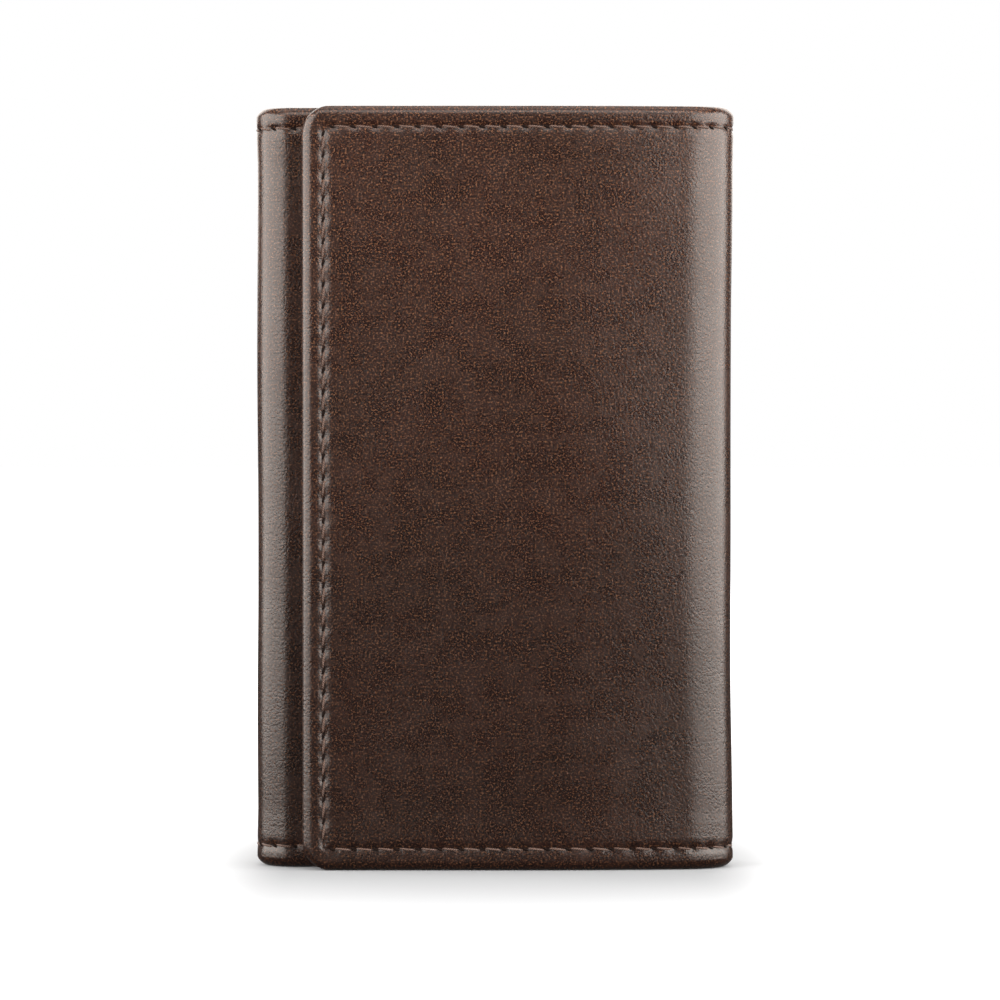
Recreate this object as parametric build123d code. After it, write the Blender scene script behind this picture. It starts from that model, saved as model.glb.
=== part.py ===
from build123d import *
import os

# Trifold wallet, closed in a letter fold and standing on its long lower edge.
# Frame: +Z is the height, -Y is the front (outside of the outer flap), +X is
# the side of the right fold, and the origin is at the middle of the base.
# All sizes are in millimetres.

# Closed wallet
HEIGHT = 114.0
WIDTH = 71.0
THICKNESS = 15.0
RIGHT_FOLD_RADIUS = THICKNESS / 2
LEFT_FOLD_RADIUS = 5.0
OUTER_FLAP_EDGE_X = -28.7
INNER_FLAP_EDGE_X = -0.3
CORNER_RADIUS = 4.2

# Layers of every panel, in order from the outside in
HIDE = 1.3
HEM_LIP = 0.6
HEM_WIDTH = 7.5
EDGE_ROUND = 0.6
LINING = 0.3
BAY_GAP = 0.3
DIVIDER = 0.5
POCKET_GAP = 0.15
SLOT_LEATHER = 0.75
SLIP_LEATHER = 0.7
WINDOW_GAP = 0.2
FILM = 0.15
FRAME_LEATHER = 0.6

# Note bay, pockets and window
LINING_INSET = 1.2
BAY_SEAM = 5.0
DIVIDER_DROP = 10.0
POCKET_BASE = 0.8
SLOT_TOP_BACK = 82.0
SLOT_STEP = 11.0
SLOT_SEAM = 2.1
NOTCH_RADIUS = 9.0
NOTCH_DEPTH = 4.0
SLIP_TOP = 90.0
INNER_SLIP_TOP = 84.0
SLIP_SEAM = 3.4
WINDOW_TOP = 80.0
WINDOW_WIDTH = 35.0
WINDOW_HEIGHT = 45.0
WINDOW_CENTRE_Z = 42.0
WINDOW_ROUND = 3.0
FILM_MARGIN = 2.5

# Stitching: eight stitches to the inch
STITCH_PITCH = 3.2
STITCH_LENGTH = 2.4
STITCH_WIDTH = 0.5
STITCH_SINK = 0.2
ROW_INSET = 3.2
SIDE_ROW_INSET = 3.0

# Folds: each is three rigid strips of hide of equal arc
STRIPS = 3
STRIP_ARC = 180.0 / STRIPS
RIGHT_STITCHES = 3
LEFT_STITCHES = 2

# Derived places
BACK_Y = THICKNESS / 2
FRONT_Y = -THICKNESS / 2
RIGHT_FOLD_X = WIDTH / 2 - RIGHT_FOLD_RADIUS
LEFT_FOLD_X = -WIDTH / 2 + LEFT_FOLD_RADIUS
LEFT_FOLD_Y = BACK_Y - LEFT_FOLD_RADIUS
INNER_FLAP_Y = BACK_Y - 2 * LEFT_FOLD_RADIUS
LINING_DEPTH = HIDE + HEM_LIP
DIVIDER_DEPTH = LINING_DEPTH + LINING + BAY_GAP
POCKET_DEPTH = DIVIDER_DEPTH + DIVIDER
DIVIDER_TOP = HEIGHT - DIVIDER_DROP
MIDDLE_Z = HEIGHT / 2


class Panel:
    """A flat panel from x0 to x1 whose outside lies at outer_y.

    inward is +1 if the layers build up towards +Y and -1 if towards -Y, and
    free_edge is -1 or +1 for a free edge at x0 or x1, or 0 for none.
    """

    def __init__(self, name, x0, x1, outer_y, inward, free_edge):
        self.name = name
        self.x0 = x0
        self.x1 = x1
        self.outer_y = outer_y
        self.inward = inward
        self.free_edge = free_edge

    def span(self, inset):
        """The panel's x range, drawn in by inset at a free edge only."""
        low = self.x0 + (inset if self.free_edge < 0 else 0.0)
        high = self.x1 - (inset if self.free_edge > 0 else 0.0)
        return low, high

    def sheet(self, x0, x1, z0, z1, depth, thick):
        """A flat sheet whose outer face is at depth below the outside."""
        centre_y = self.outer_y + self.inward * (depth + thick / 2)
        place = Pos((x0 + x1) / 2, centre_y, (z0 + z1) / 2)
        return place * Box(x1 - x0, thick, z1 - z0)

    def round_free_corners(self, body, radius):
        """Round the top and bottom corners of the free edge."""
        upright = body.edges().filter_by(Axis.Y).group_by(Axis.X)
        corners = upright[0] if self.free_edge < 0 else upright[-1]
        return fillet(corners, radius)

    def shell(self):
        """The hide with its hems turned in at the top, bottom and free edge."""
        skin = self.sheet(self.x0, self.x1, 0, HEIGHT, 0, HIDE)
        lip = self.sheet(self.x0, self.x1, 0, HEIGHT, HIDE, HEM_LIP)
        if self.free_edge:
            skin = self.round_free_corners(skin, CORNER_RADIUS)
            lip = self.round_free_corners(lip, CORNER_RADIUS)
        x0, x1 = self.span(HEM_WIDTH)
        x0 -= 0 if self.free_edge < 0 else 1
        x1 += 0 if self.free_edge > 0 else 1
        lip -= self.sheet(x0, x1, HEM_WIDTH, HEIGHT - HEM_WIDTH, HIDE, HEM_LIP)
        body = skin + lip
        outside = body.faces().sort_by(Axis.Y)[0 if self.inward > 0 else -1]
        ends = [x for x, side in ((self.x0, -1), (self.x1, 1)) if side != self.free_edge]
        rim = [e for e in outside.edges() if all(abs(e.center().X - x) > 0.01 for x in ends)]
        return fillet(rim, EDGE_ROUND) - self.stitches()

    def stiffener(self):
        """The board that fills the space between the hems."""
        x0, x1 = self.span(HEM_WIDTH)
        x0 += 0 if self.free_edge < 0 else 1
        x1 -= 0 if self.free_edge > 0 else 1
        return self.sheet(x0, x1, HEM_WIDTH, HEIGHT - HEM_WIDTH, HIDE, HEM_LIP)

    def lining(self):
        """The cloth on the outer wall of the note bay."""
        x0, x1 = self.span(LINING_INSET)
        top = HEIGHT - LINING_INSET
        return self.sheet(x0, x1, LINING_INSET, top, LINING_DEPTH, LINING)

    def divider(self):
        """The inner wall of the note bay with the seam that closes the bay."""
        x0, x1 = self.span(LINING_INSET)
        wall = self.sheet(x0, x1, LINING_INSET, DIVIDER_TOP, DIVIDER_DEPTH, DIVIDER)
        seam_z = LINING_INSET + BAY_SEAM
        seam_depth = DIVIDER_DEPTH - BAY_GAP
        wall += self.sheet(x0, x1, LINING_INSET, seam_z, seam_depth, BAY_GAP)
        if self.free_edge < 0:
            wall += self.sheet(x0, x0 + BAY_SEAM, LINING_INSET, DIVIDER_TOP, seam_depth, BAY_GAP)
        if self.free_edge > 0:
            wall += self.sheet(x1 - BAY_SEAM, x1, LINING_INSET, DIVIDER_TOP, seam_depth, BAY_GAP)
        return wall

    def pocket(self, x0, x1, top, depth, gap, thick, seam):
        """A pocket face held off the layer behind by a seam on three sides."""
        face = self.sheet(x0, x1, POCKET_BASE, top, depth + gap, thick)
        rim = self.sheet(x0, x1, POCKET_BASE, top, depth, gap)
        rim -= self.sheet(x0 + seam, x1 - seam, POCKET_BASE + seam, top + 1, depth, gap)
        return face + rim

    def thumb_notch(self, body, top):
        """Cut a shallow round notch in the middle of a pocket's mouth."""
        centre_x = (body.bounding_box().min.X + body.bounding_box().max.X) / 2
        centre_z = top + NOTCH_RADIUS - NOTCH_DEPTH
        cutter = Rot(90, 0, 0) * Cylinder(NOTCH_RADIUS, THICKNESS)
        return body - Pos(centre_x, self.outer_y, centre_z) * cutter

    def stitch(self, x, z, upright):
        """One stitch pulled flush into the outside, with its middle at x, z."""
        outline = SlotOverall(STITCH_LENGTH, STITCH_WIDTH, rotation=90 if upright else 0)
        outside = Plane((x, self.outer_y, z), x_dir=(1, 0, 0), z_dir=(0, self.inward, 0))
        return extrude(outside * outline, STITCH_SINK)

    def stitches(self):
        """Rows of stitches along the top, the bottom and any free edge."""
        x0, x1 = self.span(SIDE_ROW_INSET + STITCH_PITCH / 2)
        count = int((x1 - x0) / STITCH_PITCH)
        margin = (x1 - x0 - count * STITCH_PITCH) / 2
        stitches = []
        for i in range(count):
            x = x0 + margin + (i + 0.5) * STITCH_PITCH
            stitches.append(self.stitch(x, ROW_INSET, False))
            stitches.append(self.stitch(x, HEIGHT - ROW_INSET, False))
        if self.free_edge:
            row_x = self.x0 + SIDE_ROW_INSET if self.free_edge < 0 else self.x1 - SIDE_ROW_INSET
            count = int((HEIGHT - 2 * ROW_INSET) / STITCH_PITCH)
            for i in range(count):
                z = MIDDLE_Z + (i - (count - 1) / 2) * STITCH_PITCH
                stitches.append(self.stitch(row_x, z, True))
        return stitches

    def thread(self):
        """All of the panel's stitches as one piece of thread."""
        return Compound(children=self.stitches())


class Fold:
    """A half-round fold about an upright axis, made of rigid strips.

    turn is -1 if the fold runs clockwise, seen from above, from the middle
    panel to its flap, and +1 if it runs the other way.
    """

    def __init__(self, name, axis_x, axis_y, radius, turn, stitches):
        self.name = name
        self.place = Pos(axis_x, axis_y, 0)
        self.radius = radius
        self.turn = turn
        self.stitch_count = stitches

    def start(self, strip):
        """The angle from +X at which the strip's turned band begins."""
        near = 90.0 + self.turn * strip * STRIP_ARC
        return near if self.turn > 0 else near - STRIP_ARC

    def swept(self, outline, start, arc):
        """Turn an outline in the radius and height plane about the fold axis."""
        band = revolve(outline, Axis.Z, arc)
        return self.place * Rot(0, 0, start) * band

    def leather(self, strip):
        """One strip of hide with its hems turned in at the top and bottom."""
        outside = self.radius
        inside = self.radius - HIDE
        lip = inside - HEM_LIP
        corners = [
            (outside, 0, 0),
            (outside, 0, HEIGHT),
            (lip, 0, HEIGHT),
            (lip, 0, HEIGHT - HEM_WIDTH),
            (inside, 0, HEIGHT - HEM_WIDTH),
            (inside, 0, HEM_WIDTH),
            (lip, 0, HEM_WIDTH),
            (lip, 0, 0),
        ]
        outline = make_face(Polyline(*corners, close=True))
        outer_corners = outline.vertices().group_by(Axis.X)[-1]
        outline = fillet(outer_corners, EDGE_ROUND)
        return self.swept(outline, self.start(strip), STRIP_ARC) - self.stitches(strip)

    def band(self, strip, depth, thick, z0, z1):
        """One strip of a thin layer at depth below the outside."""
        middle = Pos(self.radius - depth - thick / 2, 0, (z0 + z1) / 2)
        outline = middle * (Plane.XZ * Rectangle(thick, z1 - z0))
        return self.swept(outline, self.start(strip), STRIP_ARC)

    def lining(self, strip):
        """The cloth on the outer wall of the note bay, round the fold."""
        return self.band(strip, LINING_DEPTH, LINING, LINING_INSET, HEIGHT - LINING_INSET)

    def divider(self, strip):
        """The inner wall of the note bay, round the fold, with its seam."""
        wall = self.band(strip, DIVIDER_DEPTH, DIVIDER, LINING_INSET, DIVIDER_TOP)
        seam_depth = DIVIDER_DEPTH - BAY_GAP
        seam = self.band(strip, seam_depth, BAY_GAP, LINING_INSET, LINING_INSET + BAY_SEAM)
        return wall + seam

    def stitches(self, strip):
        """The stitches that run round the strip near the top and bottom."""
        pitch = STRIP_ARC / self.stitch_count
        arc = degrees_of(STITCH_LENGTH * 0.9, self.radius)
        stitches = []
        for i in range(self.stitch_count):
            start = self.start(strip) + (i + 0.5) * pitch - arc / 2
            for z in (ROW_INSET, HEIGHT - ROW_INSET):
                middle = Pos(self.radius - STITCH_SINK / 2, 0, z)
                outline = middle * (Plane.XZ * Rectangle(STITCH_SINK, STITCH_WIDTH))
                stitches.append(self.swept(outline, start, arc))
        return stitches

    def thread(self, strip):
        """All of the strip's stitches as one piece of thread."""
        return Compound(children=self.stitches(strip))


def degrees_of(length, radius):
    """The angle in degrees that an arc of this length spans."""
    return length / radius * 180.0 / 3.141592653589793


def panel_parts(panel):
    """The layers that every panel has."""
    return {
        panel.name + "_shell_leather": panel.shell(),
        panel.name + "_stiffener_board": panel.stiffener(),
        panel.name + "_bay_lining": panel.lining(),
        panel.name + "_bay_divider": panel.divider(),
        panel.name + "_thread": panel.thread(),
    }


def card_slots(panel):
    """Three stepped upright card slots, each with a thumb notch."""
    slots = {}
    for step, name in enumerate(("back", "middle", "front")):
        top = SLOT_TOP_BACK - step * SLOT_STEP
        depth = POCKET_DEPTH + step * (POCKET_GAP + SLOT_LEATHER)
        x0 = panel.x0 + 0.1
        x1 = panel.x1 - 0.1
        slot = panel.pocket(x0, x1, top, depth, POCKET_GAP, SLOT_LEATHER, SLOT_SEAM)
        slots[panel.name + "_card_slot_" + name] = panel.thumb_notch(slot, top)
    return slots


def slip_pocket(panel, top):
    """A plain slip pocket that fills the panel's width."""
    x0, x1 = panel.span(LINING_INSET)
    name = panel.name + "_slip_pocket"
    return {name: panel.pocket(x0, x1, top, POCKET_DEPTH, POCKET_GAP, SLIP_LEATHER, SLIP_SEAM)}


def window_pocket(panel):
    """The photo window: a leather frame with a clear film behind it."""
    x0, x1 = panel.span(LINING_INSET)
    depth = POCKET_DEPTH + POCKET_GAP + SLIP_LEATHER
    frame = panel.pocket(x0, x1, WINDOW_TOP, depth, WINDOW_GAP, FRAME_LEATHER, SLIP_SEAM)
    middle_x = (x0 + x1) / 2
    hole = extrude(Plane.XZ * RectangleRounded(WINDOW_WIDTH, WINDOW_HEIGHT, WINDOW_ROUND),
                   THICKNESS, both=True)
    frame -= Pos(middle_x, 0, WINDOW_CENTRE_Z) * hole
    half_w = WINDOW_WIDTH / 2 + FILM_MARGIN
    half_h = WINDOW_HEIGHT / 2 + FILM_MARGIN
    film_depth = depth + WINDOW_GAP - FILM
    z0 = WINDOW_CENTRE_Z - half_h
    z1 = WINDOW_CENTRE_Z + half_h
    film = panel.sheet(middle_x - half_w, middle_x + half_w, z0, z1, film_depth, FILM)
    return {panel.name + "_window_frame": frame, panel.name + "_window_film": film}


def fold_parts(fold):
    """The four layers of each strip of a fold."""
    layers = {}
    for strip in range(STRIPS):
        name = fold.name + "_strip_" + str(strip + 1)
        layers[name + "_leather"] = fold.leather(strip)
        layers[name + "_lining"] = fold.lining(strip)
        layers[name + "_divider"] = fold.divider(strip)
        layers[name + "_thread"] = fold.thread(strip)
    return layers


centre = Panel("centre", LEFT_FOLD_X, RIGHT_FOLD_X, BACK_Y, -1, 0)
outer_flap = Panel("outer_flap", OUTER_FLAP_EDGE_X, RIGHT_FOLD_X, FRONT_Y, 1, -1)
inner_flap = Panel("inner_flap", LEFT_FOLD_X, INNER_FLAP_EDGE_X, INNER_FLAP_Y, 1, 1)
right_fold = Fold("right", RIGHT_FOLD_X, 0, RIGHT_FOLD_RADIUS, -1, RIGHT_STITCHES)
left_fold = Fold("left", LEFT_FOLD_X, LEFT_FOLD_Y, LEFT_FOLD_RADIUS, 1, LEFT_STITCHES)

parts = {}
for panel in (centre, outer_flap, inner_flap):
    parts.update(panel_parts(panel))
parts.update(card_slots(centre))
parts.update(slip_pocket(outer_flap, SLIP_TOP))
parts.update(window_pocket(outer_flap))
parts.update(slip_pocket(inner_flap, INNER_SLIP_TOP))
for fold in (right_fold, left_fold):
    parts.update(fold_parts(fold))

os.makedirs("parts", exist_ok=True)
for name, part in parts.items():
    export_step(part, "parts/" + name + ".step")
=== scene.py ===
"""Looks of a trifold wallet in waxed brown cowhide, closed and standing on its lower edge."""
import math

import bmesh
import bpy
import numpy as np
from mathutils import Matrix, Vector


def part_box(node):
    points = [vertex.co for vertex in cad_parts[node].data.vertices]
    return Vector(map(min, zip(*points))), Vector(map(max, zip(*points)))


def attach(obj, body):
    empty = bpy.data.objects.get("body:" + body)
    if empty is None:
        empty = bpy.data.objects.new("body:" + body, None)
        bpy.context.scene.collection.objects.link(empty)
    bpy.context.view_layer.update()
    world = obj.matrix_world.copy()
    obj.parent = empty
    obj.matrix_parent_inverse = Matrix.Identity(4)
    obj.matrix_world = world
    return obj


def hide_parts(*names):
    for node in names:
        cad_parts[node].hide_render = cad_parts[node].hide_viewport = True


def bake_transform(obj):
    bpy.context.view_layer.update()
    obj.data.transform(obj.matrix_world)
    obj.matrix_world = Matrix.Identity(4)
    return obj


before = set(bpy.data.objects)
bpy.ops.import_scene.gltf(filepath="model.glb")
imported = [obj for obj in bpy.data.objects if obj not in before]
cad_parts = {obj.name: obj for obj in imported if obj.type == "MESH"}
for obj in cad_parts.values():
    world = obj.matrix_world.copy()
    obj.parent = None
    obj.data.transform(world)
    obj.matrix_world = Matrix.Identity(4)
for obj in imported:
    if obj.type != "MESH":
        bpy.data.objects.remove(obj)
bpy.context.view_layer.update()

MM = 0.001

# Places of the folded hide, from the frame
centre_low, centre_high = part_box("centre_shell_leather")
outer_low, outer_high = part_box("outer_flap_shell_leather")
inner_low, inner_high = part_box("inner_flap_shell_leather")
HEIGHT = centre_high[2] - centre_low[2]
BACK_Y = centre_high[1]
FRONT_Y = outer_low[1]
RIGHT_RADIUS = (BACK_Y - FRONT_Y) / 2
LEFT_RADIUS = (BACK_Y - inner_low[1]) / 2
RIGHT_X, RIGHT_Y = centre_high[0], BACK_Y - RIGHT_RADIUS
LEFT_X, LEFT_Y = centre_low[0], BACK_Y - LEFT_RADIUS

# Layers, from the outside in
HIDE_THICK = outer_high[1] - outer_low[1]
LINING_THICK = 0.3 * MM
BAY_GAP = 0.3 * MM
DIVIDER_THICK = 0.5 * MM
POCKET_GAP = 0.15 * MM
SLOT_THICK = 0.75 * MM
SLIP_THICK = 0.7 * MM
FRAME_THICK = 0.6 * MM
WINDOW_GAP = 0.2 * MM
FILM_GAP = 0.04 * MM
FILM_THICK = 0.13 * MM
BAY_INSET = 1.2 * MM
BAY_OPENING = 10 * MM
LINING_DEPTH = HIDE_THICK
DIVIDER_DEPTH = LINING_DEPTH + LINING_THICK + BAY_GAP
POCKET_DEPTH = DIVIDER_DEPTH + DIVIDER_THICK

# The hide's own length, measured along its outside from the inner flap's edge
INNER_LENGTH = inner_high[0] - LEFT_X
LEFT_ARC = math.pi * LEFT_RADIUS
CENTRE_LENGTH = RIGHT_X - LEFT_X
RIGHT_ARC = math.pi * RIGHT_RADIUS
OUTER_LENGTH = RIGHT_X - outer_low[0]
LEFT_START = INNER_LENGTH
CENTRE_START = LEFT_START + LEFT_ARC
RIGHT_START = CENTRE_START + CENTRE_LENGTH
OUTER_START = RIGHT_START + RIGHT_ARC
HIDE_END = OUTER_START + OUTER_LENGTH

# A fold bends within this distance each side of a hinge line, and its pieces reach a margin
# beyond its ends
RIGHT_BEND = (RIGHT_RADIUS - POCKET_DEPTH) * math.sin(math.radians(30))
LEFT_BEND = (LEFT_RADIUS - POCKET_DEPTH) * math.sin(math.radians(30))
RIGHT_MARGIN = RIGHT_BEND + 0.8 * MM
LEFT_MARGIN = LEFT_BEND + 0.7 * MM

# The flap's slack: its depth, and how far it runs along the flap and round the fold
SETTLE = 1.3 * MM
SETTLE_FLAP = 21 * MM
SETTLE_FOLD = 12.5 * MM

# Stitches: distance of the rows from the edge, pitch, and the look of one stitch
ROW = 3.2 * MM
PITCH = 3.2 * MM
THREAD_RADIUS = 0.18 * MM
STITCH_LENGTH = 2.5 * MM
STITCH_SLANT = math.radians(7)
SLIT_SLANT = math.radians(27)

# Turned hems and the hide's own relief
CORNER = 4.2 * MM
HEM = 7.5 * MM
HIDE_ROLL = 0.66
HEM_PUFF = 0.07 * MM
FOLD_SWELL = 0.34 * MM
WAIST = 0.24 * MM
WAIST_RUN = 24 * MM
GROOVE = 0.15 * MM
NOTCH_REACH = 8 * MM
NOTCH_DEPTH = 4 * MM

# Mesh fineness: grid steps of the hide, the pockets, the film and the note bay, facets of a
# rolled edge, and the angle above which an edge stays crisp
GRID = 0.62 * MM
POCKET_GRID = 0.9 * MM
FILM_GRID = 1.2 * MM
BAY_GRID = 1.1 * MM
EDGE_STEPS = 6
SHARP_ANGLE = math.radians(50)

# The level rows count from the middle of the right fold; an upright row has this many stitches
ROW_ORIGIN = RIGHT_START + RIGHT_ARC / 2
SIDE_COUNT = int((HEIGHT - 2 * ROW) / PITCH)


def slack(along):
    """How far the outer flap has settled inwards where it runs into the right fold.

    From a length 21 mm short of the fold it deepens as the 1.7th power of the way there, then
    follows the cubic 1 - 3t^2 + 2t^3 plus its own slope, t - 2t^2 + t^3, back to nothing 12.5 mm
    round the fold.
    """
    flap = np.clip(1 - (along - OUTER_START) / SETTLE_FLAP, 0, 1)
    round_fold = np.clip((OUTER_START - along) / SETTLE_FOLD, 0, 1)
    slope = 1.7 * SETTLE * SETTLE_FOLD / SETTLE_FLAP
    t = round_fold
    bent = SETTLE * (1 - 3 * t**2 + 2 * t**3) + slope * (t - 2 * t**2 + t**3)
    return np.where(along > OUTER_START, SETTLE * flap**1.7, np.where(t < 1, bent, 0.0))


def hide_point(along, depth):
    """x and y of a point on the folded hide: straight runs along X joined by two half circles.

    along is the length on the outside and depth is measured inwards, from the settled outside.
    The outward normal starts at -Y and turns clockwise by (length on an arc) / (its radius).
    """
    return circle_point(along, depth + slack(along))


def circle_point(along, depth):
    """x and y at a depth below the unsettled outside, made of straight runs and half circles."""
    inner = np.clip(along, 0, LEFT_START)
    left = np.clip(along - LEFT_START, 0, LEFT_ARC)
    centre = np.clip(along - CENTRE_START, 0, CENTRE_LENGTH)
    right = np.clip(along - RIGHT_START, 0, RIGHT_ARC)
    outer = np.clip(along - OUTER_START, 0, None)
    normal = -math.pi / 2 - left / LEFT_RADIUS - right / RIGHT_RADIUS
    first_half = along < CENTRE_START + CENTRE_LENGTH / 2
    radius = np.where(first_half, LEFT_RADIUS, RIGHT_RADIUS) - depth
    x = np.where(first_half,
                 LEFT_X + (INNER_LENGTH - inner) + centre,
                 RIGHT_X - (CENTRE_LENGTH - centre) - outer)
    y = np.where(first_half, LEFT_Y, RIGHT_Y)
    return x + radius * np.cos(normal), y + radius * np.sin(normal)


def fold_shares(along):
    """0 on the flat panels, rising to 1 at the middle of a fold as the sine of the turn, for the
    left and for the right fold."""
    left = np.clip((along - LEFT_START) / LEFT_ARC, 0, 1)
    right = np.clip((along - RIGHT_START) / RIGHT_ARC, 0, 1)
    return np.sin(math.pi * left), np.sin(math.pi * right)


def graded(low, high, step, fine_low, fine_high, rim):
    """Positions from low to high at about step, crowded towards a fine end.

    At a fine end they run as rim * (1 - cos t), so a round edge of that size has even facets,
    and then by half steps to the stitch row; a cut end has one very short last step.
    """
    turn = rim * (1 - np.cos(np.linspace(0, math.pi / 2, EDGE_STEPS)))
    hem = np.arange(rim + step / 2, min(ROW + step, (high - low) / 2), step / 2)
    short = np.array([0.0, 0.02 * MM])
    head = np.concatenate([turn, hem]) if fine_low else short
    tail = np.concatenate([turn, hem]) if fine_high else short
    start, stop = low + head[-1], high - tail[-1]
    count = max(2, int(round((stop - start) / step)) + 1)
    middle = np.linspace(start, stop, count)[1:-1]
    return np.concatenate([low + head, middle, (high - tail)[::-1]])


def edge_distance(along, up, low, high, bottom, top, free_low, free_high):
    """Distance in from the nearest free edge: the top, the bottom and any free end."""
    distance = np.minimum(up - bottom, top - up)
    if free_low:
        distance = np.minimum(distance, along - low)
    if free_high:
        distance = np.minimum(distance, high - along)
    return np.maximum(distance, 0)


def corner_inset(up, bottom, top, radius):
    """How far a rounded corner draws the free end in at each height: r - sqrt(r^2 - (r - h)^2)."""
    h = np.clip(np.minimum(up - bottom, top - up), 0, radius)
    return radius - np.sqrt(np.maximum(radius**2 - (radius - h) ** 2, 0))


def hem_relief(along, up, distance):
    """How far the turned hide stands proud of its flat, in metres.

    A low half-sine puff from the edge to the stitch row; a groove along the row, a Gaussian
    across it, that is pulled deep at each needle hole; a shallow step where the turned-in hem
    ends; a swell in both folds, with a slow waist in the right one; and a slow unevenness.
    """
    left, right = fold_shares(along)
    puff = HEM_PUFF * np.sin(math.pi * np.clip(distance / ROW, 0, 1))
    swell = FOLD_SWELL * (left + right)
    level = np.minimum(up, HEIGHT - up) <= distance * 1.0001
    turn = np.where(level, along - ROW_ORIGIN, up - HEIGHT / 2 - PITCH / 2 * (SIDE_COUNT % 2))
    pull = 1 + 0.8 * np.cos(2 * math.pi * turn / PITCH)
    groove = GROOVE * pull * np.exp(-(((distance - ROW) / (0.45 * MM)) ** 2))
    shoulder = 0.04 * MM * np.exp(-(((distance - ROW * 1.4) / (0.9 * MM)) ** 2))
    fall = np.clip((distance - HEM + 1.5 * MM) / (3 * MM), 0, 1)
    far = np.clip((distance - HEM) / WAIST_RUN, 0, 1)
    step = 0.06 * MM * fall * fall * (3 - 2 * fall) + WAIST * right * far * far * (3 - 2 * far)
    wave = 0.04 * MM * (np.sin(along * 160 + 1.3 * np.sin(up * 95))
                        + np.sin(up * 130 + 1.7 * np.sin(along * 110 + 0.6)))
    inside = np.clip(distance / HEM, 0, 1)
    return puff + swell - groove + shoulder - step + wave * inside


def seam_depth(along):
    """Depth of the seam's groove below the unsettled outside, which the folds' swell lifts."""
    left, right = fold_shares(along)
    return 0.8 * GROOVE - FOLD_SWELL * (left + right)


def flat_relief(along, up, distance):
    """No relief at all, for thin inner layers."""
    return 0 * along


def pocket_relief(along, up, distance):
    """A slow sine waviness of thin pocket leather, a few hundredths of a millimetre, and a
    creased line 1.5 mm from the edge, a Gaussian across it."""
    wave = 0.04 * MM * np.sin(along * 210 + 2 * np.sin(up * 70))
    wave = wave * np.clip(distance / (4 * MM), 0, 1)
    crease = 0.06 * MM * np.exp(-(((distance - 1.5 * MM) / (0.3 * MM)) ** 2))
    return wave - crease


class Sheet:
    """One layer of the wallet between two lengths along the hide, with rounded free edges.

    roll is the share of the thickness that the outer face's round takes of a free edge.
    """

    def __init__(self, low, high, depth, thick, bottom=0.0, top=None,
                 free_low=False, free_high=False, corner=0.0, relief=flat_relief, step=GRID,
                 notch=0.0, roll=0.5):
        self.low, self.high = low, high
        self.depth, self.thick = depth, thick
        self.bottom, self.top = bottom, HEIGHT if top is None else top
        self.free_low, self.free_high = free_low, free_high
        self.corner, self.relief, self.step, self.notch = corner, relief, step, notch
        self.roll = roll

    def mouth(self, along):
        """Height of the upper edge: level, less a smooth thumb notch in the middle, which is
        a cosine dip 16 mm wide."""
        reach = np.clip(np.abs(along - (self.low + self.high) / 2) / NOTCH_REACH, 0, 1)
        return self.top - self.notch * 0.5 * (1 + np.cos(math.pi * reach))

    def surfaces(self):
        """Grids of the outer and the inner face, and the unrolled place of every point.

        Both faces share one grid of length and height. Near a free edge each is drawn in by
        rounded(), the outer one with the larger radius, so that the two meet in a rolled edge.
        """
        rim = self.thick * self.roll
        along = graded(self.low, self.high, self.step, self.free_low, self.free_high, rim)
        up = graded(self.bottom, self.top, self.step, True, True, rim)
        along, up = np.meshgrid(along, up, indexing="ij")
        inset = corner_inset(up, self.bottom, self.top, self.corner) if self.corner else 0 * up
        length = self.high - self.low
        if self.free_low:
            along = self.high - (self.high - along) * (length - inset) / length
        if self.free_high:
            along = self.low + (along - self.low) * (length - inset) / length
        low_edge = self.low + inset if self.free_low else self.low
        high_edge = self.high - inset if self.free_high else self.high
        mouth = self.mouth(along)
        up = self.bottom + (up - self.bottom) * (mouth - self.bottom) / (self.top - self.bottom)
        distance = edge_distance(along, up, low_edge, high_edge, self.bottom, mouth,
                                 self.free_low, self.free_high)
        raised = self.relief(along, up, distance) * np.clip(distance / rim, 0, 1)
        outer = self.depth + rounded(distance, rim) - raised
        inner = self.depth + self.thick - rounded(distance, self.thick - rim)
        return along, up, distance, outer, inner

    def mesh_parts(self):
        """Vertices, faces, unrolled coordinates and edge distance of the closed sheet."""
        along, up, distance, outer, inner = self.surfaces()
        rows, columns = along.shape
        points = []
        for depth in (outer, inner):
            x, y = hide_point(along, depth)
            points.append(np.stack([x, y, up], axis=-1).reshape(-1, 3))
        index = np.arange(rows * columns).reshape(rows, columns)
        back = index + rows * columns
        face = grid_faces(index)
        faces = [face, grid_faces(back)[:, ::-1]]
        for end, is_free in ((0, self.free_low), (-1, self.free_high)):
            if not is_free:
                faces.append(grid_faces(np.stack([index[end], back[end]])))
        flat = np.stack([along, up], axis=-1).reshape(-1, 2)
        unrolled = np.concatenate([flat, flat])
        rim_distance = np.concatenate([distance.ravel(), distance.ravel()])
        return np.concatenate(points), np.concatenate(faces), unrolled, rim_distance


def rounded(distance, radius):
    """How far a quarter circle draws a face in at a distance d from its edge:
    r - sqrt(r^2 - (r - d)^2)."""
    near = radius - np.minimum(distance, radius)
    return radius - np.sqrt(np.maximum(radius**2 - near**2, 0))


def grid_faces(index):
    """Quads between neighbouring rows and columns of an index grid."""
    quads = np.stack([index[:-1, :-1], index[1:, :-1], index[1:, 1:], index[:-1, 1:]], axis=-1)
    return quads.reshape(-1, 4)


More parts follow.
